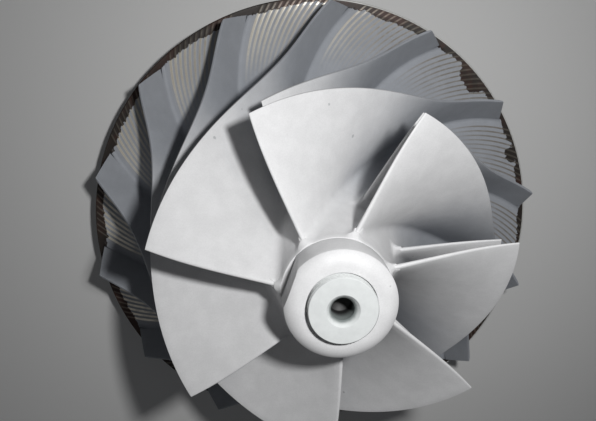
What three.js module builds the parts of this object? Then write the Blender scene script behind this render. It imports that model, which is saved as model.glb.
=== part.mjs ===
// Semi-open centrifugal compressor impeller: a hub with its back disc, seven full blades,
// seven splitter blades, a round nose nut and the threaded end of the shaft stud.
// Millimetres, +Z up along the shaft axis with the nose on top; the origin is the centre
// of the flat seat face on which the wheel rests.
import * as THREE from 'three';

// Overall size
const wheelRadius = 130;          // outer radius of the trailing edges
const discRadius = 134;           // the disc runs a little past the trailing edges
const seatToGasFace = 18;         // seat face up to the disc's gas face at the rim
const bladePairs = 7;             // one full blade and one splitter in each
const pitchDeg = 360 / bladePairs;
const seatGap = 0.35;             // gap left between pieces that touch

// Meridional outline of the gas path: radius and height above the gas face at the rim
const hubOutline = [[24.4, 106.5], [32, 46.7], [74.5, 4.1], [wheelRadius, 0]];
const tipOutline = [[82.4, 103.3], [83.2, 57.4], [99.9, 22.4], [wheelRadius, 19.7]];

// Wrap of the first full blade around the axis, in degrees counter-clockwise from +X,
// from leading edge to trailing edge, at the hub and at the tip
const hubWrap = [119.9, 45.1, 46.3, 26.2];
const tipWrap = [111.2, 45.0, 43.8, 31.4];
const leadingEdgeBow = 1.2;       // degrees by which the leading edge bows at mid height

// A splitter follows the same surface half a pitch later, from these places along it
const splitterStartHub = 0.2;
const splitterStartTip = 0.18;

// Blade thickness at the root and at the tip, and how it tapers to the two edges
const rootThickness = 4.2;
const tipThickness = 1.5;
const leadingEdgeTaper = 0.6;
const trailingEdgeTaper = 0.85;
const leadingTaperLength = 0.12;  // share of the blade's length

// Hub, back disc and bore
const hubFrontRadius = 23.8;
const hubFrontHeight = 108.6;     // above the gas face at the rim
const hubFrontChamfer = 0.4;
const rimThickness = 4;
const backFaceRise = 4.5;         // how far the back face falls from the rim to the boss
const seatBossRadius = 42;
const seatBossFlare = 9;
const seatBossHeight = 5;
const seatChamfer = 0.8;
const boreRadius = 14.6;
const socketRadius = 20;
const socketDepth = 12;

// Nose nut: its face rounds down to a sharp shoulder, and one side is cut flat
const nutBaseRadius = 23.3;
const nutRadius = 23.2;           // at the shoulder
const nutFaceRadius = 17;         // flat part of the face
const nutHeight = 16.8;
const nutRound = 8.5;
const nutBaseChamfer = 0.3;
const nutBoreChamfer = 0.4;
const nutFlatAngle = 156;         // degrees counter-clockwise from +X
const nutFlatDistance = 21.5;

// Threaded shaft end with its centre hole
const studRadius = 14.2;
const studTop = 129.5;            // above the gas face at the rim
const studFootChamfer = 0.9;
const studEndTaper = 0.6;         // how far the thread's end runs in, and over what height
const studEndTaperHeight = 0.6;
const studFoot = 1.5;             // the stud's lower end above the socket's floor
const centreHoleRadius = 4.7;
const centreMouthRadius = 6.7;
const centreMouthDepth = 2.4;
const centreHoleDepth = 11;
const centreDrillPoint = 2.5;

// Facets
const ringSegments = 84;
const fullBladeSteps = 20;
const splitterSteps = 14;
const bladeSpanSteps = 4;
const gasFaceSteps = 18;
const roundSteps = 5;
const seatSteps = 400;            // points of the raised hub face under the blade roots
const edgeCrowding = 1.15;        // above 1, facets crowd towards the leading edge
const slopeStep = 0.004;          // step along a curve over which its slope is taken

const rad = THREE.MathUtils.degToRad;
const lerp = THREE.MathUtils.lerp;
const wheelAxis = new THREE.Vector3(0, 0, 1);

function bezier(control, t) {
  const s = 1 - t;
  const weight = [s * s * s, 3 * s * s * t, 3 * s * t * t, t * t * t];
  return weight.reduce((sum, w, i) => sum + w * control[i], 0);
}

function outlinePoint(outline, t) {
  const radius = bezier(outline.map((p) => p[0]), t);
  const height = bezier(outline.map((p) => p[1]), t) + seatToGasFace;
  return new THREE.Vector2(radius, height);
}

function outlineNormal(outline, t) {
  const ahead = outlinePoint(outline, Math.min(t + slopeStep, 1));
  const behind = outlinePoint(outline, Math.max(t - slopeStep, 0));
  const along = ahead.sub(behind).normalize();
  return new THREE.Vector2(-along.y, along.x);
}

// The gas face of the hub, raised by the given distance, as a fine list of points
function raisedHubFace(lift) {
  const points = [];
  for (let i = 0; i <= seatSteps; i += 1) {
    const t = i / seatSteps;
    points.push(outlinePoint(hubOutline, t).addScaledVector(outlineNormal(hubOutline, t), lift));
  }
  return points;
}

const bladeSeat = raisedHubFace(seatGap);

// The nearest point of the raised hub face to a point in the meridional plane
function nearestOnSeat(radius, height) {
  const here = new THREE.Vector2(radius, height);
  return bladeSeat.reduce((best, p) =>
    (p.distanceToSquared(here) < best.distanceToSquared(here) ? p : best));
}

function onWheel(radius, angleDeg, height) {
  const angle = rad(angleDeg);
  return new THREE.Vector3(radius * Math.cos(angle), radius * Math.sin(angle), height);
}

// Middle surface of the first full blade: straight rulings from the hub to the tip,
// t along the blade at the hub and at the tip, s from root to tip
function camber(tHub, tTip, s) {
  const root = outlinePoint(hubOutline, tHub);
  const tip = outlinePoint(tipOutline, tTip);
  const point = onWheel(root.x, bezier(hubWrap, tHub), root.y);
  point.lerp(onWheel(tip.x, bezier(tipWrap, tTip), tip.y), s);
  const fade = (1 - tHub) ** 3;
  const bow = leadingEdgeBow * 4 * s * (1 - s) * fade;
  return point.applyAxisAngle(wheelAxis, rad(bow));
}

function thickness(along, s) {
  const full = lerp(rootThickness, tipThickness, s);
  const lead = Math.min(along / leadingTaperLength, 1);
  const rise = lerp(leadingEdgeTaper, 1, Math.sqrt(lead * (2 - lead)));
  return full * rise * lerp(1, trailingEdgeTaper, along);
}

// Closed body of one blade: two side grids, joined along the leading and trailing edges,
// the root and the tip
function bladeGeometry(startHub, startTip, steps, turnDeg) {
  const top = bladeSpanSteps;
  const columns = top + 1;
  const sides = [[], []];
  const chordAt = (along) => [lerp(startHub, 1, along), lerp(startTip, 1, along)];
  for (let i = 0; i <= steps; i += 1) {
    const along = (i / steps) ** edgeCrowding;
    const [tHub, tTip] = chordAt(along);
    const [aheadHub, aheadTip] = chordAt(Math.min(along + slopeStep, 1));
    const [behindHub, behindTip] = chordAt(Math.max(along - slopeStep, 0));
    for (let j = 0; j < columns; j += 1) {
      const s = j / bladeSpanSteps;
      const centre = camber(tHub, tTip, s);
      const flow = camber(aheadHub, aheadTip, s).sub(camber(behindHub, behindTip, s));
      const above = camber(tHub, tTip, Math.min(s + slopeStep, 1));
      const span = above.sub(camber(tHub, tTip, Math.max(s - slopeStep, 0)));
      const across = flow.cross(span).normalize().multiplyScalar(thickness(along, s) / 2);
      [1, -1].forEach((sign, side) => {
        const point = centre.clone().addScaledVector(across, sign);
        const angle = THREE.MathUtils.radToDeg(Math.atan2(point.y, point.x)) + turnDeg;
        let radius = Math.hypot(point.x, point.y);
        let height = point.z;
        if (j === 0) {
          const seat = nearestOnSeat(radius, height);
          radius = seat.x;
          height = seat.y;
        }
        const atRim = i === steps || radius > wheelRadius;
        sides[side].push(onWheel(atRim ? wheelRadius : radius, angle, height));
      });
    }
  }
  const offset = sides[0].length;
  const at = (side, i, j) => side * offset + i * columns + j;
  const faces = [];
  const quad = (a, b, c, d) => faces.push(a, b, c, a, c, d);
  for (let i = 0; i < steps; i += 1) {
    for (let j = 0; j < bladeSpanSteps; j += 1) {
      quad(at(0, i, j), at(0, i + 1, j), at(0, i + 1, j + 1), at(0, i, j + 1));
      quad(at(1, i, j), at(1, i, j + 1), at(1, i + 1, j + 1), at(1, i + 1, j));
    }
    quad(at(0, i, 0), at(1, i, 0), at(1, i + 1, 0), at(0, i + 1, 0));
    quad(at(0, i, top), at(0, i + 1, top), at(1, i + 1, top), at(1, i, top));
  }
  for (let j = 0; j < bladeSpanSteps; j += 1) {
    quad(at(0, 0, j), at(0, 0, j + 1), at(1, 0, j + 1), at(1, 0, j));
    quad(at(0, steps, j), at(1, steps, j), at(1, steps, j + 1), at(0, steps, j + 1));
  }
  return bodyFrom([...sides[0], ...sides[1]], faces);
}

function bodyFrom(points, faces) {
  const geometry = new THREE.BufferGeometry().setFromPoints(points);
  geometry.setIndex(faces);
  geometry.computeVertexNormals();
  return geometry;
}

// A solid of revolution about +Z from a closed loop of [radius, height], or from an open
// outline that starts and ends on the axis
function turned(outline, segments = ringSegments) {
  const points = outline.map(([r, z]) => new THREE.Vector2(r, z));
  const geometry = new THREE.LatheGeometry(points, segments);
  geometry.rotateX(Math.PI / 2);
  return geometry;
}

function closed(outline) {
  return [...outline, outline[0]];
}

function gasFace() {
  const points = [];
  for (let i = 0; i <= gasFaceSteps; i += 1) {
    const p = outlinePoint(hubOutline, 1 - i / gasFaceSteps);
    points.push([p.x, p.y]);
  }
  return points;
}

function hubGeometry() {
  const front = hubFrontHeight + seatToGasFace;
  const rimBack = seatToGasFace - rimThickness;
  return turned(closed([
    [discRadius, rimBack],
    [discRadius, seatToGasFace],
    ...gasFace(),
    [hubFrontRadius, front - hubFrontChamfer],
    [hubFrontRadius - hubFrontChamfer, front],
    [boreRadius, front],
    [boreRadius, socketDepth],
    [socketRadius, socketDepth],
    [socketRadius, seatChamfer],
    [socketRadius + seatChamfer, 0],
    [seatBossRadius - seatChamfer, 0],
    [seatBossRadius, seatChamfer],
    [seatBossRadius, seatBossHeight],
    [seatBossRadius + seatBossFlare, rimBack - backFaceRise],
  ]));
}

// Moves what lies beyond the given distance from the axis, in one direction, back to it
function cutFlat(geometry, angleDeg, distance) {
  const outward = onWheel(1, angleDeg, 0);
  const places = geometry.attributes.position;
  const point = new THREE.Vector3();
  for (let i = 0; i < places.count; i += 1) {
    point.fromBufferAttribute(places, i);
    point.addScaledVector(outward, -Math.max(point.dot(outward) - distance, 0));
    places.setXYZ(i, point.x, point.y, point.z);
  }
  geometry.computeVertexNormals();
  return geometry;
}

function nutGeometry() {
  const base = hubFrontHeight + seatToGasFace + seatGap;
  const top = base + nutHeight;
  const steepest = Math.asin((nutRadius - nutFaceRadius) / nutRound);
  const shoulder = [];
  for (let i = 0; i <= roundSteps; i += 1) {
    const angle = steepest * (1 - i / roundSteps);
    shoulder.push([
      nutFaceRadius + nutRound * Math.sin(angle),
      top - nutRound * (1 - Math.cos(angle)),
    ]);
  }
  const body = turned(closed([
    [boreRadius, base],
    [nutBaseRadius - nutBaseChamfer, base],
    [nutBaseRadius, base + nutBaseChamfer],
    ...shoulder,
    [boreRadius + nutBoreChamfer, top],
    [boreRadius, top - nutBoreChamfer],
  ]));
  return cutFlat(body, nutFlatAngle, nutFlatDistance);
}

function studGeometry() {
  const top = studTop + seatToGasFace;
  return turned([
    [0, socketDepth + studFoot],
    [studRadius - studFootChamfer, socketDepth + studFoot],
    [studRadius, socketDepth + studFoot + studFootChamfer],
    [studRadius, top - studEndTaperHeight],
    [studRadius - studEndTaper, top],
    [centreMouthRadius, top],
    [centreHoleRadius, top - centreMouthDepth],
    [centreHoleRadius, top - centreHoleDepth],
    [0, top - centreHoleDepth - centreDrillPoint],
  ]);
}

function coat(colour, roughness, metalness) {
  return new THREE.MeshStandardMaterial({ color: colour, roughness, metalness });
}

function piece(name, geometry, material) {
  const mesh = new THREE.Mesh(geometry, material);
  mesh.name = name;
  return mesh;
}

const impeller = new THREE.Group();
impeller.add(piece('hub_disc', hubGeometry(), coat(0xb4b6b8, 0.6, 0.2)));
for (let k = 0; k < bladePairs; k += 1) {
  const full = bladeGeometry(0, 0, fullBladeSteps, -k * pitchDeg);
  impeller.add(piece(`full_blade_${k + 1}`, full, coat(0xe2e3e4, 0.7, 0.05)));
  const halfway = -(k + 0.5) * pitchDeg;
  const splitter = bladeGeometry(splitterStartHub, splitterStartTip, splitterSteps, halfway);
  impeller.add(piece(`splitter_blade_${k + 1}`, splitter, coat(0xdadcde, 0.7, 0.05)));
}
impeller.add(piece('nose_nut', nutGeometry(), coat(0xe8e9e9, 0.65, 0.05)));
impeller.add(piece('shaft_stud', studGeometry(), coat(0xe6e9e8, 0.6, 0.1)));

export default impeller;
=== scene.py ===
import math

import bmesh
import bpy
from mathutils import Matrix, Vector


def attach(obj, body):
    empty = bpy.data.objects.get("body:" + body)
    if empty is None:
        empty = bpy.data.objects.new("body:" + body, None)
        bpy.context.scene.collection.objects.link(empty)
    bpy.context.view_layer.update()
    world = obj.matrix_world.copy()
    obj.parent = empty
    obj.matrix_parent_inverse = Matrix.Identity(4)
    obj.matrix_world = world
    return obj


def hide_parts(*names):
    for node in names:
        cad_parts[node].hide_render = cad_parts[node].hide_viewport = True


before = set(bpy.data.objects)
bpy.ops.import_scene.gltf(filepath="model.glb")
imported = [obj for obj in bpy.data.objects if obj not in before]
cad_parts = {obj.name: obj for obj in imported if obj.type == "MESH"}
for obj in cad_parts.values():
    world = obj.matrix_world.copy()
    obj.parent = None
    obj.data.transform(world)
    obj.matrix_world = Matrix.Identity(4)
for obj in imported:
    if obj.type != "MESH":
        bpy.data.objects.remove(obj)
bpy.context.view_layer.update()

mm = 0.001
fullTurn = 2 * math.pi
wheelAxis = Vector((0, 0, 1))

# driving sizes of the wheel, in millimetres and degrees, as the frame was built
wheel = {
    "bladeRadius": 130,
    "discRadius": 134,
    "seatToGasFace": 18,
    "pairs": 7,
    "hubOutline": [(24.4, 106.5), (32, 46.7), (74.5, 4.1), (130, 0)],
    "tipOutline": [(82.4, 103.3), (83.2, 57.4), (99.9, 22.4), (130, 19.7)],
    "hubWrap": (119.9, 45.1, 46.3, 26.2),
    "tipWrap": (111.2, 45.0, 43.8, 31.4),
    "leadingEdgeBow": 1.2,
    "slopeStep": 0.004,
}


def bezier(control, t):
    s = 1 - t
    ends = s ** 3 * control[0] + t ** 3 * control[3]
    return ends + 3 * s * s * t * control[1] + 3 * s * t * t * control[2]


def outlinePoint(outline, t):
    radius = bezier([point[0] for point in outline], t)
    height = bezier([point[1] for point in outline], t) + wheel["seatToGasFace"]
    return Vector((radius, height))


def outlineNormal(outline, t):
    step = wheel["slopeStep"]
    along = outlinePoint(outline, min(t + step, 1)) - outlinePoint(outline, max(t - step, 0))
    along.normalize()
    return Vector((-along.y, along.x))


def onWheel(radius, angle, height):
    return Vector((radius * math.cos(angle), radius * math.sin(angle), height))


def mix(low, high, share):
    return low + (high - low) * share


def smoothRise(low, high, value):
    share = min(max((value - low) / (high - low), 0), 1)
    return share * share * (3 - 2 * share)


# middle surface of the first full blade: straight rulings from the hub to the tip
def camber(tHub, tTip, s):
    root = outlinePoint(wheel["hubOutline"], tHub)
    tip = outlinePoint(wheel["tipOutline"], tTip)
    low = onWheel(root.x, math.radians(bezier(wheel["hubWrap"], tHub)), root.y)
    high = onWheel(tip.x, math.radians(bezier(wheel["tipWrap"], tTip)), tip.y)
    bow = wheel["leadingEdgeBow"] * 4 * s * (1 - s) * (1 - tHub) ** 3
    return Matrix.Rotation(math.radians(bow), 3, wheelAxis) @ low.lerp(high, s)


# a grid of the given columns and rows, each vertex with the column and row it stands for
def indexedGrid(columns, rows):
    bm = bmesh.new()
    bm.verts.layers.float.new("crest")
    bmesh.ops.create_grid(bm, x_segments=columns - 1, y_segments=rows - 1, size=0.5)
    places = {}
    for vert in bm.verts:
        column = round((vert.co.x + 0.5) * (columns - 1))
        row = round((vert.co.y + 0.5) * (rows - 1))
        places[vert] = (column, row)
    return bm, places


def layFlow(bm, flowOf):
    flow = bm.loops.layers.uv.new("flow")
    for face in bm.faces:
        for loop in face.loops:
            loop[flow].uv = flowOf[loop.vert]


# closes the seams, turns the faces outwards, scales to metres and hands the piece to the frame
def finishPiece(bm, name, node, sharpDeg=30):
    bmesh.ops.remove_doubles(bm, verts=bm.verts, dist=0.003)
    bmesh.ops.recalc_face_normals(bm, faces=bm.faces)
    bmesh.ops.scale(bm, vec=(mm, mm, mm), verts=bm.verts)
    mesh = bpy.data.meshes.new(name)
    bm.to_mesh(mesh)
    mesh.shade_smooth()
    mesh.set_sharp_from_angle(angle=math.radians(sharpDeg))
    piece = bpy.data.objects.new(name, mesh)
    bpy.context.scene.collection.objects.link(piece)
    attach(piece, "root")
    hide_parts(node)
    return piece


# blades

blade = {
    "rootThickness": 4.2,
    "tipThickness": 1.5,
    "leadingEdgeTaper": 0.6,
    "trailingEdgeTaper": 0.85,
    "leadingTaperLength": 0.12,
    "noseStretch": 1.6,       # nose length over half thickness
    "buried": 2.6,            # how far the blade's foot reaches into the hub
    "tipEdge": 0.25,
    "edgeCrowding": 1.35,
    "noseColumns": 6,
    "sideColumns": 60,
    "sideRows": 20,
    "splitterStartHub": 0.2,
    "splitterStartTip": 0.18,
}


def halfThickness(along, s):
    full = mix(blade["rootThickness"], blade["tipThickness"], s)
    lead = min(along / blade["leadingTaperLength"], 1)
    rise = mix(blade["leadingEdgeTaper"], 1, math.sqrt(lead * (2 - lead)))
    return full * rise * mix(1, blade["trailingEdgeTaper"], along) / 2


# columns around the section: place along the blade, turn round the nose from 0 on a side
# to 1 on the leading edge, and side; the seam is the middle of the trailing edge
def sectionColumns():
    last = blade["sideColumns"]
    side = [(1 - i / last) ** blade["edgeCrowding"] for i in range(last + 1)]
    nose = [(i + 1) / blade["noseColumns"] for i in range(blade["noseColumns"])]
    half = [(along, 0) for along in side] + [(0, turn) for turn in nose]
    there = [(along, turn, 1) for along, turn in half]
    back = [(along, turn, -1) for along, turn in reversed(half[:-1])]
    return [(1, 0, 0)] + there + back + [(1, 0, 0)]


# rows up the span: share of the way from the foot to the tip edge, distance below the
# tip in the edge's own rows, and share of the thickness
def spanRows():
    edge = blade["tipEdge"]
    rows = [(0, edge, 0)]
    rows += [(i / blade["sideRows"], edge, 1) for i in range(blade["sideRows"] + 1)]
    return rows + [(1, edge * 0.3, 0.93), (1, 0, 0.75), (1, 0, 0)]


# a point of the blade's skin
def skinPoint(middle, along, turn, side, s, thick):
    step = wheel["slopeStep"]
    ahead = min(along + step, 1)
    behind = max(along - step, 0)
    travel = middle(ahead, s) - middle(behind, s)
    flow = travel.normalized()
    span = middle(along, min(s + step, 1)) - middle(along, max(s - step, 0))
    across = flow.cross(span).normalized() * side
    angle = turn * math.pi / 2
    noseLength = halfThickness(0, s) * blade["noseStretch"]
    back = noseLength * (1 - math.sin(angle)) * (ahead - behind) / travel.length
    centre = middle(along + (1 - along) * back, s)
    half = halfThickness(along, max(s, 0)) * thick * math.cos(angle)
    return centre + across * half


def bladeShape(startHub, startTip):
    columns = sectionColumns()
    rows = spanRows()
    rim = wheel["bladeRadius"]
    bm, places = indexedGrid(len(columns), len(rows))

    def middle(along, s):
        return camber(mix(startHub, 1, along), mix(startTip, 1, along), s)

    flowOf = {}
    for vert, (column, row) in places.items():
        along, turn, side = columns[column]
        share, below, thick = rows[row]
        length = (middle(along, 1) - middle(along, 0)).length
        s = mix(-blade["buried"] / length, 1 - below / length, share)
        point = skinPoint(middle, along, turn, side, s, thick)
        if along == 1 or math.hypot(point.x, point.y) > rim:
            point = onWheel(rim, math.atan2(point.y, point.x), point.z)
        vert.co = point
        flowOf[vert] = (mix(startTip, 1, along), s)
    layFlow(bm, flowOf)
    return bm


def makeBlades(shape, stem, firstTurn):
    pieces = []
    for k in range(wheel["pairs"]):
        bm = shape.copy()
        angle = firstTurn - fullTurn * k / wheel["pairs"]
        bmesh.ops.rotate(bm, cent=(0, 0, 0), matrix=Matrix.Rotation(angle, 3, wheelAxis), verts=bm.verts)
        pieces.append(finishPiece(bm, f"{stem}Blade{k + 1}", f"{stem}_blade_{k + 1}"))
        bm.free()
    return pieces


fullBlades = makeBlades(bladeShape(0, 0), "full", 0)
splitterBlades = makeBlades(bladeShape(blade["splitterStartHub"], blade["splitterStartTip"]),
                            "splitter", -fullTurn / wheel["pairs"] / 2)
print("blades made")


# hub with its back disc

hub = {
    "frontRadius": 23.8,
    "frontHeight": 108.6,
    "frontRound": 0.15,
    "rimThickness": 4,
    "rimRound": 0.5,
    "rimRoundClear": 1.4,     # roundings between the last lip row and the rim
    "backFaceFall": 4.5,
    "bossRadius": 42,
    "bossFlare": 9,
    "bossHeight": 5,
    "bossRound": 2,
    "seatRound": 0.8,
    "flareRound": 6,
    "boreRadius": 14.6,
    "boreEdge": 1,            # slanted edge at the bore's mouth
    "socketRound": 0.6,
    "socketRadius": 20,
    "socketDepth": 12,
    "filletFront": 4.4,
    "filletRim": 2.6,
    "filletFrontEnd": 0.25,   # place t up to which the fillets keep their front size
    "filletRoom": 0.92,       # share of the passage that its two fillets may take
    "splitterLead": 0.07,     # run ahead of a splitter over which its fillets grow
    "splitterLeast": 0.1,
    "slopeHeight": 0.6,       # where a wall's slope is taken, as a share of the fillet
    "wallStep": 0.3,          # height over which a blade's wall slope is taken
    "wallTries": 4,
    "flatRidges": 13,
    "columnsPerRidge": 3,
    "openColumns": 12,        # round the fillet where the blade leans away
    "tightColumns": 8,        # round the fillet under the leaning blade
    "ridgeDepth": 0.15,
    "ridgeMean": 0.3,         # part of a ridge's height that lies below the gas face
    "ridgesFrom": 0.42,
    "ridgesFull": 0.7,
    "lipRows": 3,
    "lipStart": 0.03,
    "gasRows": 52,
    "noseRows": 6,            # extra rows ahead of the splitters and at the front
    "noseRowStep": 0.007,
    "splitterRowShift": 0.3,
    "frontRowShift": 0.5,
    "flareFade": (1.5, 1),    # where the fillets end on the front face: off the bore, off the edge
    "boreRows": 8,
    "cornerSteps": 3,
}


# an outline whose corners are rounded: each point is radius, height and rounding
def roundedOutline(points, steps):
    done = []
    for i, (x, y, rounding) in enumerate(points):
        here = Vector((x, y))
        if rounding == 0 or i in (0, len(points) - 1):
            done.append(here)
            continue
        before = (Vector(points[i - 1][:2]) - here).normalized()
        after = (Vector(points[i + 1][:2]) - here).normalized()
        opening = before.angle(after)
        reach = rounding / math.tan(opening / 2)
        centre = here + (before + after).normalized() * (rounding / math.sin(opening / 2))
        first = here + before * reach - centre
        last = here + after * reach - centre
        sweep = first.angle_signed(last)
        for k in range(steps + 1):
            done.append(centre + Matrix.Rotation(-sweep * k / steps, 2) @ first)
    return done


# the turn about the axis at which a blade's middle surface, or one of its walls, stands at
# the given height over the hub face at t; the turn is counted from the blade's root there
def wallTurn(t, height, kind, side):
    reach = (1 - blade["splitterStartTip"]) / (1 - blade["splitterStartHub"]) if kind else 1
    target = outlinePoint(wheel["hubOutline"], t) + outlineNormal(wheel["hubOutline"], t) * height
    step = wheel["slopeStep"]

    def middle(u, s):
        return camber(u, 1 - (1 - u) * reach, s)

    def miss(u, s):
        point = middle(u, s)
        return Vector((point.xy.length, point.z)) - target

    u = t
    s = height / (middle(t, 1) - middle(t, 0)).length
    for i in range(hub["wallTries"]):
        off = miss(u, s)
        byU = (miss(u + step, s) - off) / step
        byS = (miss(u, s + step) - off) / step
        area = byU.x * byS.y - byU.y * byS.x
        u -= (off.x * byS.y - off.y * byS.x) / area
        s -= (byU.x * off.y - byU.y * off.x) / area
    point = middle(u, s)
    flow = middle(u + step, s) - middle(u - step, s)
    across = flow.cross(middle(u, s + step) - point).normalized()
    ring = Vector((-point.y, point.x, 0))
    start = blade["splitterStartHub"] if kind else 0
    along = min(max((u - start) / (1 - start), 0), 1)
    offset = halfThickness(along, max(s, 0)) / abs(ring.dot(across))
    turn = math.atan2(point.y, point.x) - math.radians(bezier(wheel["hubWrap"], t))
    return turn + side * offset


# how the blades stand on the hub face at t, or beyond its front end: one entry for a full
# blade, one for a splitter, each with the fillets on its own two sides
def footing(t, beyond):
    step = wheel["slopeStep"]
    low = max(t - step, 0)
    high = min(t + step, 1)
    root = camber(t, t, 0)
    flow = camber(high, high, 0) - camber(low, low, 0)
    run = outlinePoint(wheel["hubOutline"], high) - outlinePoint(wheel["hubOutline"], low)
    slant = run.length / flow.length
    perMillimetre = 1 / (root.xy.length * slant)
    pitch = math.pi / wheel["pairs"] / perMillimetre
    travel = run.length / slant / (high - low)
    wanted = mix(hub["filletFront"], hub["filletRim"], smoothRise(hub["filletFrontEnd"], 1, t))
    start = blade["splitterStartHub"]
    grown = smoothRise(start - hub["splitterLead"], start, t)
    shares = (1, mix(hub["splitterLeast"], 1, grown))
    slopeAt = wanted * hub["slopeHeight"]
    stands = []
    sizes = {}
    for kind in (0, 1):
        begin = start if kind else 0
        half = halfThickness(max((t - begin) / (1 - begin), 0), 0)
        stands.append({"half": half, "ahead": (begin - t) * travel + beyond})
        for side in (1, -1):
            above = wallTurn(t, slopeAt + hub["wallStep"], kind, side)
            below = wallTurn(t, slopeAt - hub["wallStep"], kind, side)
            slope = side * (above - below) / perMillimetre / (2 * hub["wallStep"])
            turn = math.pi / 2 + math.atan(slope)
            radius = wanted * min(1, math.pi / 2 / turn)
            sizes[kind, side] = (radius, turn, radius * math.tan(turn / 2) * shares[kind])
    room = hub["filletRoom"] * (pitch - stands[0]["half"] - stands[1]["half"])
    for (kind, side), (radius, turn, reach) in sizes.items():
        scale = shares[kind] * min(1, room / (reach + sizes[1 - kind, -side][2]))
        stands[kind][side] = (radius * scale, turn)
    return stands, pitch, perMillimetre


# columns of one fillet from the blade's middle to the foot on the hub face: sideways place
# and height
def filletColumns(t, stand, kind, side, count, perMillimetre):
    radius, turn = stand[side]
    reach = radius * math.tan(turn / 2)
    top = reach * math.sin(turn)

    def wall(height):
        return side * wallTurn(t, height, kind, side) / perMillimetre

    slope = (wall(top + hub["wallStep"]) - wall(top - hub["wallStep"])) / (2 * hub["wallStep"])
    contact = Vector((wall(top), top))
    corner = Vector((contact.x - slope * top, 0))
    foot = Vector((corner.x + (contact - corner).length, 0))
    nose = stand["half"] + stand["ahead"] / (1 if stand["ahead"] > 0 else blade["noseStretch"])
    columns = [Vector((0, 0))]
    for j in range(count + 1):
        u = j / count
        columns.append(contact * (1 - u) ** 2 + corner * (2 * u * (1 - u)) + foot * u * u)
    if nose <= 0:
        return columns
    ahead = []
    for x, height in columns:
        off = min(max(foot.x - math.hypot(x, nose), 0), radius)
        ahead.append((x, min(radius - math.sqrt(radius ** 2 - off ** 2), top)))
    return ahead


# columns across one full blade's and one splitter's passage: turn about the axis, height
# over the hub face, lift of the ridge, and nearness to its crest
def fan(t, beyond=0):
    stands, pitch, perMillimetre = footing(t, beyond)
    fade = smoothRise(hub["ridgesFrom"], hub["ridgesFull"], t)
    per = hub["columnsPerRidge"]
    flatCount = hub["flatRidges"] * per
    columns = []
    for kind in (0, 1):
        left = filletColumns(t, stands[kind], kind, 1, hub["tightColumns"], perMillimetre)
        right = filletColumns(t, stands[1 - kind], 1 - kind, -1, hub["openColumns"], perMillimetre)
        row = [(x, height, 0) for x, height in left]
        foot = left[-1][0]
        gap = pitch - right[-1][0] - foot
        for j in range(1, flatCount):
            cusp = (2 * abs(j / per % 1 - 0.5)) ** 2
            row.append((foot + gap * j / flatCount, 0, cusp))
        row += [(pitch - x, height, 0) for x, height in reversed(right[1:])]
        for x, height, cusp in row:
            lift = hub["ridgeDepth"] * (cusp - hub["ridgeMean"]) * fade
            columns.append(((x + kind * pitch) * perMillimetre, height, lift, cusp * fade))
    return columns


# the same columns laid flat, past the ends of the blades: none of them passes its neighbour
def flatFan(columns):
    widest = fullTurn / wheel["pairs"]
    turns = sorted(min(max(column[0], 0), widest) for column in columns)
    return [(turn, 0, column[2], column[3]) for turn, column in zip(turns, columns)]


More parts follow.
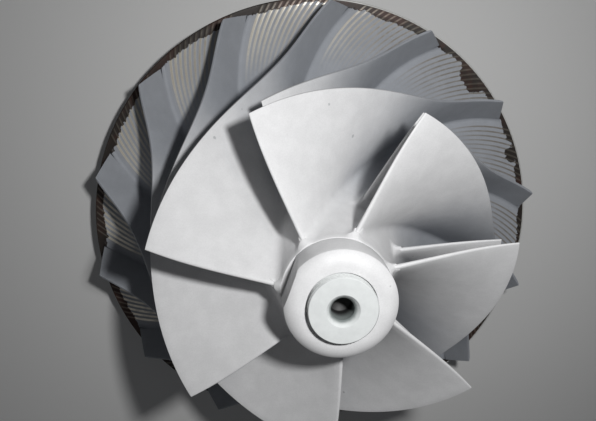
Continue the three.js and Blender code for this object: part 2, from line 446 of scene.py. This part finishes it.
# the rows of the hub's closed outline: radius and height, direction out of the face, wrap,
# columns, share of the fillets' height, share of the ridges and place t for the finish
def hubRows():
    gasFace = wheel["seatToGasFace"]
    front = hub["frontHeight"] + gasFace
    rimBack = gasFace - hub["rimThickness"]
    steps = hub["cornerSteps"]
    outline = wheel["hubOutline"]
    wraps = wheel["hubWrap"]
    upward = Vector((0, 1))
    rimFan = flatFan(fan(1))
    boreFan = flatFan(fan(0))
    lipEnd = wheel["discRadius"] - hub["rimRound"] * hub["rimRoundClear"]
    lipWidth = lipEnd - wheel["bladeRadius"]
    wrapSlope = (wraps[3] - wraps[2]) / (outline[3][0] - outline[2][0])
    rimWrap = wraps[3] + wrapSlope * lipWidth
    rows = []
    for i in range(hub["lipRows"] + 1):
        out = mix(lipWidth, hub["lipStart"], i / hub["lipRows"])
        place = Vector((wheel["bladeRadius"] + out, gasFace))
        rows.append((place, upward, wraps[3] + wrapSlope * out, rimFan, 0, 1, 1))
    places = [i / hub["gasRows"] for i in range(hub["gasRows"] + 1)]
    start = blade["splitterStartHub"]
    for i in range(hub["noseRows"]):
        places.append(start - hub["noseRowStep"] * (i + hub["splitterRowShift"]))
        places.append(hub["noseRowStep"] * (i + hub["frontRowShift"]))
    for t in sorted(places, reverse=True):
        place = outlinePoint(outline, t)
        rows.append((place, outlineNormal(outline, t), bezier(wraps, t), fan(t), 1, 1, t))
    nose = roundedOutline([
        (*outlinePoint(outline, 0), 0),
        (hub["frontRadius"], front, hub["frontRound"]),
        (hub["boreRadius"] + hub["boreEdge"], front, 0),
        (hub["boreRadius"], front - hub["boreEdge"], 0),
    ], steps)
    for point in nose[1:]:
        turned = fan(0, point.y - outlinePoint(outline, 0).y)
        left = smoothRise(hub["boreRadius"] + hub["flareFade"][0],
                          hub["frontRadius"] - hub["flareFade"][1], point.x)
        rows.append((point, outlineNormal(outline, 0), wraps[0], turned, left, 0, 0))
    for i in range(1, hub["boreRows"]):
        share = i / hub["boreRows"]
        height = mix(front - hub["boreEdge"], hub["socketDepth"], share)
        place = Vector((hub["boreRadius"], height))
        turned = [(mix(a[0], b[0], share), 0, 0, 0) for a, b in zip(boreFan, rimFan)]
        rows.append((place, upward, mix(wraps[0], rimWrap, share), turned, 0, 0, 1))
    back = roundedOutline([
        (hub["boreRadius"], hub["socketDepth"], 0),
        (hub["socketRadius"], hub["socketDepth"], hub["socketRound"]),
        (hub["socketRadius"], 0, hub["seatRound"]),
        (hub["bossRadius"], 0, hub["seatRound"]),
        (hub["bossRadius"], hub["bossHeight"] + 1, hub["bossRound"]),
        (hub["bossRadius"] + hub["bossFlare"], rimBack - hub["backFaceFall"], hub["flareRound"]),
        (wheel["discRadius"], rimBack, hub["rimRound"]),
        (wheel["discRadius"], gasFace, hub["rimRound"]),
        (wheel["discRadius"] - 1, gasFace, 0),
    ], steps)
    rows += [(point, upward, rimWrap, rimFan, 0, 0, 1) for point in back[:-1]]
    return rows


def makeHub():
    rows = hubRows()
    perPair = len(rows[0][3])
    bm, places = indexedGrid(perPair * wheel["pairs"] + 1, len(rows) + 1)
    crest = bm.verts.layers.float["crest"]
    flowOf = {}
    for vert, (column, row) in places.items():
        place, out, wrap, columns, filletShare, ridgeShare, t = rows[row % len(rows)]
        turn, height, lift, cusp = columns[column % perPair]
        pair = column // perPair
        angle = math.radians(wrap) + turn + fullTurn * pair / wheel["pairs"]
        point = place + out * (height * filletShare + lift * ridgeShare)
        vert.co = onWheel(point.x, angle, point.y)
        vert[crest] = cusp * ridgeShare
        flowOf[vert] = (pair + turn * wheel["pairs"] / fullTurn, t)
    layFlow(bm, flowOf)
    return finishPiece(bm, "hubDisc", "hub_disc", 40)


hubDisc = makeHub()
print("hub made")


# nose nut and the end of the shaft stud

nut = {
    "baseRadius": 23.75,
    "shoulderRadius": 23.2,
    "base": 108.95,           # above the gas face at the rim
    "height": 16.8,
    "faceRadius": 17,         # flat part of the face
    "faceRound": 8.5,
    "faceSteps": 14,
    "shoulderRound": 0.7,
    "footRound": 0.3,
    "boreRadius": 14.4,
    "boreSeam": 8,            # depth in the bore where the outline closes
    "mouthRound": 0.35,
    "flatAngle": 156,         # one side is cut flat
    "flatDistance": 21.5,
    "flatRound": 0.3,
    "cornerSteps": 5,
    "columns": 144,
}

stud = {
    "radius": 14.2,
    "top": 129.5,
    "footRound": 0.9,
    "foot": 13.5,
    "footLength": 5,
    "faceRadius": 13.6,
    "endSlope": 1,            # how fast the thread's end widens below the face
    "threadLength": 16,
    "threadPitch": 1.5,
    "threadDepth": 0.45,
    "grooveSharpness": 1.25,
    "holeRadius": 4.7,
    "holeRound": 0.3,
    "drillRound": 0.5,
    "mouthRadius": 6.7,
    "mouthDepth": 2.4,
    "holeDepth": 11,
    "drillPoint": 2.5,
    "cornerSteps": 4,
    "threadRows": 120,
    "columns": 144,
}


# a body turned about the axis from an outline; a closed outline makes a ring
def turnedBody(outline, columns, closed):
    bm = bmesh.new()
    verts = [bm.verts.new((point.x, 0, point.y)) for point in outline]
    ends = list(zip(verts, verts[1:] + verts[:1])) if closed else list(zip(verts, verts[1:]))
    edges = [bm.edges.new(pair) for pair in ends]
    bmesh.ops.spin(bm, geom=verts + edges, cent=(0, 0, 0), axis=wheelAxis, angle=fullTurn,
                   steps=columns, use_merge=True)
    return bm


def makeNut():
    base = nut["base"] + wheel["seatToGasFace"]
    top = base + nut["height"]
    steepest = math.asin((nut["shoulderRadius"] - nut["faceRadius"]) / nut["faceRound"])
    face = []
    for i in range(nut["faceSteps"] + 1):
        angle = steepest * (1 - i / nut["faceSteps"])
        radius = nut["faceRadius"] + nut["faceRound"] * math.sin(angle)
        face.append((radius, top - nut["faceRound"] * (1 - math.cos(angle)), 0))
    shoulder = (face[0][0], face[0][1], nut["shoulderRound"])
    outline = roundedOutline([
        (nut["boreRadius"], top - nut["boreSeam"], 0),
        (nut["boreRadius"], base, nut["footRound"]),
        (nut["baseRadius"], base, nut["footRound"]),
        shoulder,
        face[2],
    ], nut["cornerSteps"])[:-1] + roundedOutline(face[2:] + [
        (nut["boreRadius"], top, nut["mouthRound"]),
        (nut["boreRadius"], top - nut["boreSeam"], 0),
    ], nut["cornerSteps"])[:-1]
    bm = turnedBody(outline, nut["columns"], True)
    outward = onWheel(1, math.radians(nut["flatAngle"]), 0)
    parts = bm.verts[:] + bm.edges[:] + bm.faces[:]
    sliced = bmesh.ops.bisect_plane(bm, geom=parts, plane_co=outward * nut["flatDistance"],
                                    plane_no=outward, clear_outer=True)
    rim = [part for part in sliced["geom_cut"] if isinstance(part, bmesh.types.BMEdge)]
    bmesh.ops.contextual_create(bm, geom=rim)
    bmesh.ops.bevel(bm, geom=rim, offset=nut["flatRound"], segments=2, profile=0.5,
                    affect="EDGES", clamp_overlap=True)
    return finishPiece(bm, "noseNut", "nose_nut")


def makeStud():
    top = stud["top"] + wheel["seatToGasFace"]
    low = top - stud["threadLength"]
    foot = roundedOutline([
        (0, stud["foot"], 0),
        (stud["radius"], stud["foot"], stud["footRound"]),
        (stud["radius"], stud["foot"] + stud["footLength"], 0),
    ], stud["cornerSteps"])
    head = roundedOutline([
        (stud["faceRadius"], top, 0),
        (stud["mouthRadius"], top, stud["holeRound"]),
        (stud["holeRadius"], top - stud["mouthDepth"], stud["holeRound"]),
        (stud["holeRadius"], top - stud["holeDepth"], stud["drillRound"]),
        (0, top - stud["holeDepth"] - stud["drillPoint"], 0),
    ], stud["cornerSteps"])
    thread = []
    for i in range(stud["threadRows"]):
        thread.append(Vector((stud["radius"], mix(low, top, i / stud["threadRows"]))))
    bm = turnedBody(foot + thread + head, stud["columns"], False)
    for vert in bm.verts:
        radius = math.hypot(vert.co.x, vert.co.y)
        if low <= vert.co.z < top - 0.01 and radius > stud["radius"] - 0.1:
            angle = math.atan2(vert.co.y, vert.co.x)
            phase = (vert.co.z / stud["threadPitch"] - angle / fullTurn) % 1
            flank = min((1 - abs(2 * phase - 1)) * stud["grooveSharpness"], 1)
            groove = flank * stud["threadDepth"]
            groove *= smoothRise(low, low + stud["threadPitch"], vert.co.z)
            widest = stud["faceRadius"] + (top - vert.co.z) * stud["endSlope"]
            vert.co = onWheel(min(radius - groove, widest), angle, vert.co.z)
    return finishPiece(bm, "shaftStud", "shaft_stud")


noseNut = makeNut()
shaftStud = makeStud()
print("nut and stud made")


# finishes

# a shader value that Python's operators can work on
class Value:
    def __init__(self, finish, socket):
        self.finish = finish
        self.socket = socket

    def maths(self, kind, first, second):
        return self.finish.add("ShaderNodeMath", {"operation": kind}, {0: first, 1: second})

    def __add__(self, other):
        return self.maths("ADD", self, other)

    def __radd__(self, other):
        return self.maths("ADD", other, self)

    def __sub__(self, other):
        return self.maths("SUBTRACT", self, other)

    def __rsub__(self, other):
        return self.maths("SUBTRACT", other, self)

    def __mul__(self, other):
        return self.maths("MULTIPLY", self, other)

    def __rmul__(self, other):
        return self.maths("MULTIPLY", other, self)


class Finish:
    def __init__(self, name):
        self.material = bpy.data.materials.new(name)
        self.material.use_nodes = True
        self.tree = self.material.node_tree
        self.shader = self.tree.nodes["Principled BSDF"]

    # adds a node: its settings come first, then the values or links of its sockets
    def add(self, kind, settings=None, inputs=None, output=0):
        node = self.tree.nodes.new(kind)
        for name, value in (settings or {}).items():
            setattr(node, name, value)
        self.feed(node, inputs or {})
        return Value(self, node.outputs[output])

    def feed(self, node, inputs):
        for name, value in inputs.items():
            if isinstance(value, Value):
                self.tree.links.new(value.socket, node.inputs[name])
            else:
                node.inputs[name].default_value = value

    def place(self):
        return self.add("ShaderNodeTexCoord", output="Object")

    def noise(self, scale, detail=4, roughness=0.55):
        return self.add("ShaderNodeTexNoise", None, {
            "Vector": self.place(), "Scale": scale, "Detail": detail, "Roughness": roughness})

    # noise about zero
    def sway(self, reach, scale, detail=4, roughness=0.55):
        return (self.noise(scale, detail, roughness) - 0.5) * reach

    def ramp(self, value, low, high, start=0, end=1):
        return self.add("ShaderNodeMapRange", {"interpolation_type": "SMOOTHSTEP"}, {
            "Value": value, "From Min": low, "From Max": high, "To Min": start, "To Max": end})

    def blend(self, share, first, second):
        return self.add("ShaderNodeMix", {"data_type": "RGBA"}, {
            "Factor": share, 6: first, 7: second}, output=2)

    def scaled(self, colour, share):
        return self.add("ShaderNodeMix", {"data_type": "RGBA", "blend_type": "MULTIPLY"}, {
            "Factor": 1, 6: colour, 7: share}, output=2)

    def largest(self, first, second):
        return first.maths("MAXIMUM", first, second)

    def fraction(self, value):
        return value.maths("FRACT", value, 0)

    def bump(self, height, strength, distance):
        return self.add("ShaderNodeBump", None, {
            "Height": height, "Strength": strength, "Distance": distance})


paint = {
    "white": (0.8, 0.8, 0.805, 1),
    "worn": (0.42, 0.44, 0.475, 1),
    "stain": (0.3, 0.31, 0.32, 1),
    "studFace": (0.77, 0.795, 0.79, 1),
    "thread": (0.6, 0.615, 0.61, 1),
    # inside the centre hole: painted shade, grey on the wall and black deeper in
    "holeWallShade": (0.22, 0.245, 0.24, 1),
    "holeShade": (0.02, 0.02, 0.02, 1),
    # pale gold of the ridge crests: painted glint
    "crest": (0.95, 0.88, 0.74, 1),
    "dullCrest": (0.4, 0.36, 0.31, 1),
    # bare metal of the rim, near black: its own brown darkened by painted shade
    "bareAndShade": (0.034, 0.027, 0.023, 1),
    # pale line on the disc's edge: painted highlight
    "rimHighlight": (0.7, 0.7, 0.68, 1),
    "rust": (0.06, 0.03, 0.023, 1),
    "back": (0.36, 0.36, 0.36, 1),
    "wornHeight": 0.045,      # metres, where the coat is at its greyest
    "whiteHeight": 0.1,
}

# the coat's grain: scales in waves a metre, depths in metres
coat = {
    "drift": 0.03,
    "driftScale": 20,
    "mottleScale": 110,
    "mottleRange": (0.94, 1.03),
    "grainScale": 1700,
    "grainRange": (0.97, 1.02),
    "speckScale": 75,
    "speckSize": 0.07,
    "speckShare": 0.5,
    "speckStrength": 0.55,
    "bumpScale": 900,
    "bumpDriftScale": 160,
    "bumpDepth": 0.00012,
    "bladeBump": 0.12,
    "nutBump": 0.1,
    "studBump": 0.14,
    "bladeRoughness": (0.5, 0.64),
    "nutRoughness": 0.5,
    "studRoughness": 0.52,
}

# the worn gas face and the bare rim, with the painted glint on the ridge lines, the painted shade on the
# bare rim and the painted highlight on its edge: radii and heights in metres
wearAndPaintedLight = {
    "from": 0.092,
    "full": 0.126,
    "patchReach": 0.02,
    "patchScale": 45,
    # painted glint on the ridge lines, strongest on the lamp's side
    "glintOpenSide": (0.1, 0.85),         # share of a passage over which the painted glint on the lines grows
    "glintLeast": 0.25,
    "glintSide": (0, 0.06),         # place along X over which the painted glint fades
    "glintWidth": 0.3,
    "crestShare": (0.35, 0.85),
    "rubScale": 330,
    "rubRange": (0.6, 1),
    "coatEdge": 0.1296,
    "coatEdgeWidth": 0.0005,
    "fringe": (0.011, 0.004),        # coarse and fine
    "fringeScale": (30, 420),
    "fringeOnCrest": 0.0005,
    "barePatches": [(39, 0.124, 0.009), (15, 0.126, 0.005)],  # angle, radius and reach
    "gasSide": (0.0172, 0.0176),
    "backSide": (0.0165, 0.0172),
    "rustScale": 38,
    "rustRange": (0.45, 0.62),
    "crestGlintOnMetal": 0.12,
    # painted highlight along the disc's edge, on the lamp's side only
    "rimHighlightRadius": (0.133, 0.1333),
    "rimHighlightSide": (-0.01, 0.04),
    "bareShine": 0.3,
    "metallic": 0.5,
    "roughness": 0.58,
    "shineSmooths": 0.3,
    "backSmooths": 0.15,
}

# the stud's dusted thread, and the painted shade in its hole, in metres below the face
dustAndHoleShade = {
    "mottleScale": 260,
    "mottleRange": (0.95, 1.03),
    "threadFrom": 0.1,               # millimetres past the face
    "threadFull": 0.35,
    "patchScale": 1300,
    "patchLeast": 0.25,
    "holeMargin": 0.2,               # millimetres inside the hole's two radii
    # painted shade in the hole, by depth below the face
    "sunkShade": (0.0001, 0.0022),
    "sunkDrift": 0.0012,
    "sunkScale": 500,
    "deepShade": (0.004, 0.0095),
}


# distance from the axis and height above the seat, in metres
def ringPlace(finish):
    place = finish.place()
    flat = finish.add("ShaderNodeVectorMath", {"operation": "MULTIPLY"}, {0: place, 1: (1, 1, 0)})
    radius = finish.add("ShaderNodeVectorMath", {"operation": "LENGTH"}, {0: flat}, output="Value")
    height = finish.add("ShaderNodeSeparateXYZ", None, {0: place}, output="Z")
    return radius, height


# small marks spread thinly: 1 on a mark and 0 beside it
def specks(finish):
    scale = coat["speckScale"]
    size = coat["speckSize"]
    share = coat["speckShare"]
    inputs = {"Vector": finish.place(), "Scale": scale}
    near = finish.add("ShaderNodeTexVoronoi", None, inputs, output="Distance")
    cell = finish.add("ShaderNodeTexVoronoi", None, inputs, output="Color")
    chance = finish.add("ShaderNodeSeparateColor", None, {0: cell}, output="Red")
    ragged = near + finish.sway(size * 0.8, scale * 18, 2)
    mark = finish.ramp(ragged, size * 0.6, size, 1, 0)
    return mark * finish.ramp(chance, share, share + 0.02, 1, 0)


# the powdery coat: white at the inlet, thinner and greyer towards the outlet
def coatColour(finish):
    height = ringPlace(finish)[1]
    drift = finish.sway(coat["drift"], coat["driftScale"], 3)
    pale = finish.ramp(height + drift, paint["wornHeight"], paint["whiteHeight"])
    colour = finish.blend(pale, paint["worn"], paint["white"])
    mottle = finish.ramp(finish.noise(coat["mottleScale"], 6, 0.62), 0.3, 0.75, *coat["mottleRange"])
    grain = finish.ramp(finish.noise(coat["grainScale"], 2), 0.3, 0.7, *coat["grainRange"])
    colour = finish.scaled(colour, mottle * grain)
    return finish.blend(specks(finish) * coat["speckStrength"], colour, paint["stain"])


def coatGrain(finish, strength):
    drift = finish.noise(coat["bumpDriftScale"], 3) * 0.6
    grain = finish.noise(coat["bumpScale"], 4, 0.6) + drift
    return finish.bump(grain, strength, coat["bumpDepth"])


def bladeFinish():
    finish = Finish("bladeCoat")
    roughness = finish.ramp(finish.noise(60, 3), 0.3, 0.7, *coat["bladeRoughness"])
    finish.feed(finish.shader, {
        "Base Color": coatColour(finish), "Roughness": roughness, "Specular IOR Level": 0.35,
        "Normal": coatGrain(finish, coat["bladeBump"])})
    return finish.material


# painted glint on the ridge lines: brightest on the left beside each passage's open blade, where the
# lamp's highlights fall
def paintedLineGlint(finish):
    flow = finish.add("ShaderNodeUVMap", {"uv_map": "flow"})
    passage = finish.add("ShaderNodeSeparateXYZ", None, {0: flow}, output="X") * 2
    glintOpenSide = finish.ramp(finish.fraction(passage), *wearAndPaintedLight["glintOpenSide"], wearAndPaintedLight["glintLeast"], 1)
    across = finish.add("ShaderNodeSeparateXYZ", None, {0: finish.place()}, output="X")
    return glintOpenSide * finish.ramp(across, *wearAndPaintedLight["glintSide"], 1, 0)


# 1 where the coat has gone from the rim, with a ragged edge, and 0 elsewhere; the near-black laid there
# is bare metal darkened further by painted shade
def bareRim(finish, crest):
    radius, height = ringPlace(finish)
    coarse = finish.sway(wearAndPaintedLight["fringe"][0], wearAndPaintedLight["fringeScale"][0], 2)
    fine = finish.sway(wearAndPaintedLight["fringe"][1], wearAndPaintedLight["fringeScale"][1], 3)
    fringe = coarse + fine + crest * wearAndPaintedLight["fringeOnCrest"]
    for angle, at, reach in wearAndPaintedLight["barePatches"]:
        middle = onWheel(at, math.radians(angle), wheel["seatToGasFace"] * mm)
        away = finish.add("ShaderNodeVectorMath", {"operation": "DISTANCE"}, {
            0: finish.place(), 1: middle}, output="Value")
        fringe = fringe + finish.ramp(away, reach * 0.5, reach * 1.5, reach * 0.8, 0)
    edge = wearAndPaintedLight["coatEdge"]
    gasSide = finish.ramp(height, *wearAndPaintedLight["gasSide"])
    return finish.ramp(radius + fringe, edge, edge + wearAndPaintedLight["coatEdgeWidth"]) * gasSide


def bareMetalAndPaintedLight(finish, crest):
    # near-black bare metal: its own brown and rust, darkened by painted shade
    stained = finish.ramp(finish.noise(wearAndPaintedLight["rustScale"], 4, 0.65), *wearAndPaintedLight["rustRange"])
    metal = finish.blend(stained, paint["bareAndShade"], paint["rust"])
    # faint pale gold on the bare metal's crests: painted glint
    onCrest = finish.ramp(crest, 0.3, 0.9) * wearAndPaintedLight["crestGlintOnMetal"]
    metal = finish.blend(onCrest, metal, paint["crest"])
    # painted highlight: a pale line on the disc's edge, only on the side towards the lamp
    across = finish.add("ShaderNodeSeparateXYZ", None, {0: finish.place()}, output="X")
    side = finish.ramp(across, *wearAndPaintedLight["rimHighlightSide"])
    lit = finish.ramp(ringPlace(finish)[0], *wearAndPaintedLight["rimHighlightRadius"]) * side
    return finish.blend(lit, metal, paint["rimHighlight"])


def hubFinish():
    finish = Finish("hubCoat")
    radius, height = ringPlace(finish)
    crest = finish.add("ShaderNodeAttribute", {"attribute_name": "crest"}, output="Fac")
    patches = finish.sway(wearAndPaintedLight["patchReach"], wearAndPaintedLight["patchScale"], 4, 0.6)
    wear = finish.ramp(radius + patches, wearAndPaintedLight["from"], wearAndPaintedLight["full"])
    # painted glint: where it is strong, the ridge lines widen and turn pale gold, on the left and on
    # each passage's open side
    paintedGlint = paintedLineGlint(finish)
    onCrest = finish.ramp(crest + paintedGlint * wearAndPaintedLight["glintWidth"], *wearAndPaintedLight["crestShare"]) * wear
    rubbed = finish.ramp(finish.noise(wearAndPaintedLight["rubScale"], 3), 0.25, 0.6, *wearAndPaintedLight["rubRange"])
    lineWithGlint = finish.blend(paintedGlint, paint["dullCrest"], paint["crest"])
    bareAndShade = bareRim(finish, crest)
    colour = finish.blend(onCrest * rubbed, coatColour(finish), lineWithGlint)
    colour = finish.blend(bareAndShade, colour, bareMetalAndPaintedLight(finish, crest))
    backFace = finish.ramp(height, *wearAndPaintedLight["backSide"], 1, 0)
    colour = finish.blend(backFace, colour, paint["back"])
    shine = finish.largest(onCrest * rubbed, bareAndShade * wearAndPaintedLight["bareShine"])
    smooth = shine * wearAndPaintedLight["shineSmooths"]
    finish.feed(finish.shader, {
        "Base Color": colour, "Metallic": shine * wearAndPaintedLight["metallic"],
        "Roughness": wearAndPaintedLight["roughness"] - smooth - backFace * wearAndPaintedLight["backSmooths"],
        "Specular IOR Level": 0.4, "Normal": coatGrain(finish, coat["bladeBump"])})
    return finish.material


def nutFinish():
    finish = Finish("nutCoat")
    finish.feed(finish.shader, {
        "Base Color": coatColour(finish), "Roughness": coat["nutRoughness"],
        "Specular IOR Level": 0.4, "Normal": coatGrain(finish, coat["nutBump"])})
    return finish.material


def studFinish():
    finish = Finish("studCoat")
    radius, height = ringPlace(finish)
    top = (stud["top"] + wheel["seatToGasFace"]) * mm
    mottle = finish.noise(dustAndHoleShade["mottleScale"], 5, 0.6)
    colour = finish.scaled(paint["studFace"], finish.ramp(mottle, 0.3, 0.75, *dustAndHoleShade["mottleRange"]))
    threadFrom = (stud["faceRadius"] + dustAndHoleShade["threadFrom"]) * mm
    threadFull = (stud["faceRadius"] + dustAndHoleShade["threadFull"]) * mm
    onThread = finish.ramp(radius, threadFrom, threadFull)
    patches = finish.noise(dustAndHoleShade["patchScale"], 3, 0.7)
    patchy = finish.ramp(patches, 0.38, 0.62, dustAndHoleShade["patchLeast"], 1)
    colour = finish.blend(onThread * patchy, colour, paint["thread"])
    # painted shade in the centre hole: grey past the mouth, black deeper in
    below = top - height
    narrow = (stud["holeRadius"] + dustAndHoleShade["holeMargin"]) * mm
    wide = (stud["mouthRadius"] - dustAndHoleShade["holeMargin"]) * mm
    inHole = finish.ramp(radius, narrow, wide, 1, 0)
    drift = finish.sway(dustAndHoleShade["sunkDrift"], dustAndHoleShade["sunkScale"], 3)
    sunkShade = finish.ramp(below + drift, *dustAndHoleShade["sunkShade"])
    deepShade = finish.ramp(below, *dustAndHoleShade["deepShade"])
    wall = finish.blend(deepShade, paint["holeWallShade"], paint["holeShade"])
    colour = finish.blend(inHole * sunkShade, colour, wall)
    finish.feed(finish.shader, {
        "Base Color": colour, "Roughness": coat["studRoughness"], "Specular IOR Level": 0.4,
        "Normal": coatGrain(finish, coat["studBump"])})
    return finish.material


def dress(piece, material):
    piece.data.materials.clear()
    piece.data.materials.append(material)


bladeCoat = bladeFinish()
for piece in fullBlades + splitterBlades:
    dress(piece, bladeCoat)
dress(hubDisc, hubFinish())
dress(noseNut, nutFinish())
dress(shaftStud, studFinish())
print("finishes laid")


# floor, light and camera

stage = {
    "floorSize": 8,
    "floorColour": (0.8, 0.8, 0.79, 1),
    "roomLight": 0.033,
    "keyPlace": (0.0506, 0.1191, 0.3371),
    "keySize": 0.025,
    "keyPower": 0.585,
    "fillPlace": (-0.7, -0.3, 0.9),
    "fillSize": 1.2,
    "fillPower": 0.4,
}

cameraView = {
    "place": (-21.3, 86.5, 333.9),
    "forward": (0.0363, -0.2336, -0.9716),
    "upward": (0.0919, 0.9690, -0.2296),
    "lens": 31.6,
    "sensor": 36,
}


def makeFloor():
    bm = bmesh.new()
    bmesh.ops.create_grid(bm, x_segments=1, y_segments=1, size=stage["floorSize"] / 2)
    mesh = bpy.data.meshes.new("floor")
    bm.to_mesh(mesh)
    bm.free()
    floor = bpy.data.objects.new("floor", mesh)
    bpy.context.scene.collection.objects.link(floor)
    finish = Finish("floorPaint")
    finish.feed(finish.shader, {"Base Color": stage["floorColour"], "Roughness": 0.8})
    dress(floor, finish.material)


def addLight(name, place, size, power, aim=(0, 0, 0.06)):
    data = bpy.data.lights.new(name, "AREA")
    data.shape = "DISK"
    data.size = size
    data.energy = power
    light = bpy.data.objects.new(name, data)
    light.location = place
    light.rotation_euler = (Vector(aim) - Vector(place)).to_track_quat("-Z", "Y").to_euler()
    light.visible_camera = False
    bpy.context.scene.collection.objects.link(light)


def makeCamera():
    data = bpy.data.cameras.new("camera")
    data.lens = cameraView["lens"]
    data.sensor_width = cameraView["sensor"]
    data.clip_start = 0.01
    camera = bpy.data.objects.new("camera", data)
    back = -Vector(cameraView["forward"]).normalized()
    right = Vector(cameraView["upward"]).cross(back).normalized()
    up = back.cross(right)
    turn = Matrix((right, up, back)).transposed().to_4x4()
    camera.matrix_world = Matrix.Translation(Vector(cameraView["place"]) * mm) @ turn
    bpy.context.scene.collection.objects.link(camera)
    bpy.context.scene.camera = camera


makeFloor()
addLight("keyLight", stage["keyPlace"], stage["keySize"], stage["keyPower"])
addLight("fillLight", stage["fillPlace"], stage["fillSize"], stage["fillPower"])
makeCamera()
world = bpy.data.worlds.new("room")
world.use_nodes = True
world.node_tree.nodes["Background"].inputs["Color"].default_value = (0.9, 0.93, 1, 1)
world.node_tree.nodes["Background"].inputs["Strength"].default_value = stage["roomLight"]
bpy.context.scene.world = world
bpy.context.scene.view_settings.view_transform = "Standard"
print("stage set")
